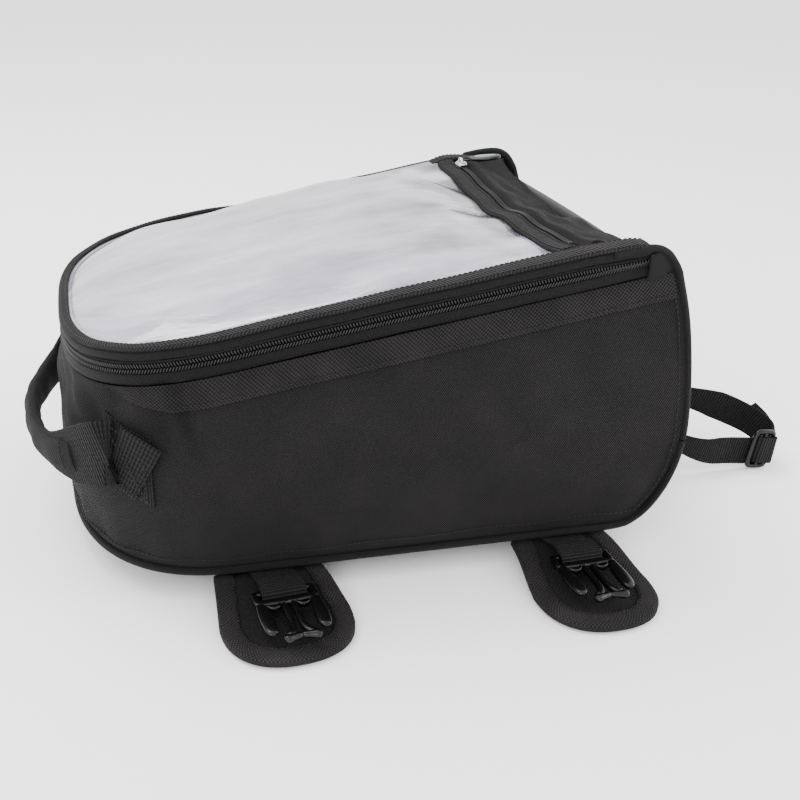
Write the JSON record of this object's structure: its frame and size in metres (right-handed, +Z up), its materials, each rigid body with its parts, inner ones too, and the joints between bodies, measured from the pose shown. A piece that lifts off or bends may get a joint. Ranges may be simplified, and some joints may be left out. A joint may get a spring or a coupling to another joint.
{
  "type": "motorcycle tank bag",
  "caption": "Soft zipped fabric bag with a clear map window on its lid, magnetic side flaps, clips, a nose handle and a rear strap.",
  "frame": {"origin": "centre of the underside of the base pad, on the resting plane", "axes": "+X to the rear of the bag, -X to the rounded nose, -Y to the near side, +Z up"},
  "size_m": [0.4931, 0.3818, 0.1942],
  "materials": {
    "body_fabric": "woven nylon",
    "foam": "soft",
    "webbing": "ribbed weave",
    "fleece": "napped",
    "coil": "moulded coil",
    "board": "flat",
    "hardware": "glossy moulding",
    "clear_film": "clear soft film",
    "nickel": "nickel plated",
    "magnet": "plated magnet"
  },
  "bodies": {
    "bag": {"side_wall": "body_fabric", "side_foam": "foam", "rear_wall": "body_fabric", "rear_foam": "foam", "base_panel": "body_fabric", "base_stiffener": "board", "base_pad": "foam", "edge_piping": "body_fabric", "zip_band_near": "webbing", "zip_band_far": "webbing", "zip_tape_lower": "body_fabric", "zip_coil_lower": "coil", "handle_patch_near": "webbing", "handle_patch_far": "webbing", "strap_anchor": "body_fabric"},
    "lid": {"lid_piping": "body_fabric", "lid_frame": "webbing", "map_window": "clear_film", "lid_backing": "body_fabric", "window_binding": "webbing", "pocket_zip_tape": "body_fabric", "pocket_zip_coil": "coil", "rear_yoke": "body_fabric", "zip_tape_upper": "body_fabric", "zip_coil_upper": "coil"},
    "pocket_slider": {"pocket_slider": "nickel"},
    "pocket_pull": {"pocket_pull": "hardware"},
    "main_slider": {"main_slider": "nickel"},
    "main_pull": {"main_pull": "hardware"},
    "handle": {"handle_webbing": "webbing", "handle_grip": "webbing"},
    "rear_strap": {"rear_strap": "webbing"},
    "adjuster": {"tri_glide": "hardware"},
    "flap_front_near": {"flap_cover_front_near": "body_fabric", "flap_backing_front_near": "fleece", "flap_magnet_front_near": "magnet", "flap_binding_front_near": "webbing", "flap_webbing_front_near": "webbing"},
    "buckle_front_near": {"buckle_front_near": "hardware"},
    "flap_front_far": {"flap_cover_front_far": "body_fabric", "flap_backing_front_far": "fleece", "flap_magnet_front_far": "magnet", "flap_binding_front_far": "webbing", "flap_webbing_front_far": "webbing"},
    "buckle_front_far": {"buckle_front_far": "hardware"},
    "flap_rear_near": {"flap_cover_rear_near": "body_fabric", "flap_backing_rear_near": "fleece", "flap_magnet_rear_near": "magnet", "flap_binding_rear_near": "webbing", "flap_webbing_rear_near": "webbing"},
    "buckle_rear_near": {"buckle_rear_near": "hardware"},
    "flap_rear_far": {"flap_cover_rear_far": "body_fabric", "flap_backing_rear_far": "fleece", "flap_magnet_rear_far": "magnet", "flap_binding_rear_far": "webbing", "flap_webbing_rear_far": "webbing"},
    "buckle_rear_far": {"buckle_rear_far": "hardware"}
  },
  "joints": [
    {"name": "lid_hinge", "type": "hinge", "parent": "bag", "child": "lid", "pos_m": [0.151, 0, 0.1845], "axis": [0, 1, 0], "range_deg": [0, 105]},
    {"name": "main_slider_slide", "type": "slide", "parent": "bag", "child": "main_slider", "axis": [-0.9848, -0.0241, -0.1719], "range_m": [0, 0.155]},
    {"name": "main_pull_hinge", "type": "hinge", "parent": "main_slider", "child": "main_pull", "pos_m": [0.1082, 0.1196, 0.17069], "axis": [0.1719, 0, -0.9851], "range_deg": [0, 150]},
    {"name": "pocket_slider_slide", "type": "slide", "parent": "lid", "child": "pocket_slider", "axis": [0, -1, 0], "range_m": [0, 0.165]},
    {"name": "pocket_pull_hinge", "type": "hinge", "parent": "pocket_slider", "child": "pocket_pull", "pos_m": [0.116, 0.089, 0.1891], "axis": [-0.4969, -0.8635, -0.0867], "range_deg": [0, 85]},
    {"name": "handle_hinge", "type": "hinge", "parent": "bag", "child": "handle", "pos_m": [-0.1345, 0, 0.087], "axis": [0, 1, 0], "range_deg": [-12, 15]},
    {"name": "rear_strap_hinge", "type": "hinge", "parent": "bag", "child": "rear_strap", "pos_m": [0.194, 0, 0.049], "axis": [0, -1, 0], "range_deg": [0, 30]},
    {"name": "adjuster_slide", "type": "slide", "parent": "rear_strap", "child": "adjuster", "axis": [-0.9957, 0.0181, 0.0905], "range_m": [0, 0.01]},
    {"name": "flap_front_near_hinge", "type": "hinge", "parent": "bag", "child": "flap_front_near", "pos_m": [-0.053, -0.1188, 0.0125], "axis": [-1, 0, 0], "range_deg": [-3, 30]},
    {"name": "buckle_front_near_hinge", "type": "hinge", "parent": "flap_front_near", "child": "buckle_front_near", "pos_m": [-0.05065, -0.1369, 0.0134], "axis": [-0.9962, -0.0872, 0], "range_deg": [0, 68]},
    {"name": "flap_front_far_hinge", "type": "hinge", "parent": "bag", "child": "flap_front_far", "pos_m": [-0.053, 0.1188, 0.0125], "axis": [1, 0, 0], "range_deg": [-3, 30]},
    {"name": "buckle_front_far_hinge", "type": "hinge", "parent": "flap_front_far", "child": "buckle_front_far", "pos_m": [-0.05065, 0.1369, 0.0134], "axis": [0.9962, -0.0872, 0], "range_deg": [0, 68]},
    {"name": "flap_rear_near_hinge", "type": "hinge", "parent": "bag", "child": "flap_rear_near", "pos_m": [0.12, -0.1188, 0.0125], "axis": [-1, 0, 0], "range_deg": [-3, 30]},
    {"name": "buckle_rear_near_hinge", "type": "hinge", "parent": "flap_rear_near", "child": "buckle_rear_near", "pos_m": [0.12094, -0.13698, 0.0134], "axis": [-0.9994, -0.0349, 0], "range_deg": [0, 68]},
    {"name": "flap_rear_far_hinge", "type": "hinge", "parent": "bag", "child": "flap_rear_far", "pos_m": [0.12, 0.1188, 0.0125], "axis": [1, 0, 0], "range_deg": [-3, 30]},
    {"name": "buckle_rear_far_hinge", "type": "hinge", "parent": "flap_rear_far", "child": "buckle_rear_far", "pos_m": [0.12094, 0.13698, 0.0134], "axis": [0.9994, -0.0349, 0], "range_deg": [0, 68]}
  ]
}
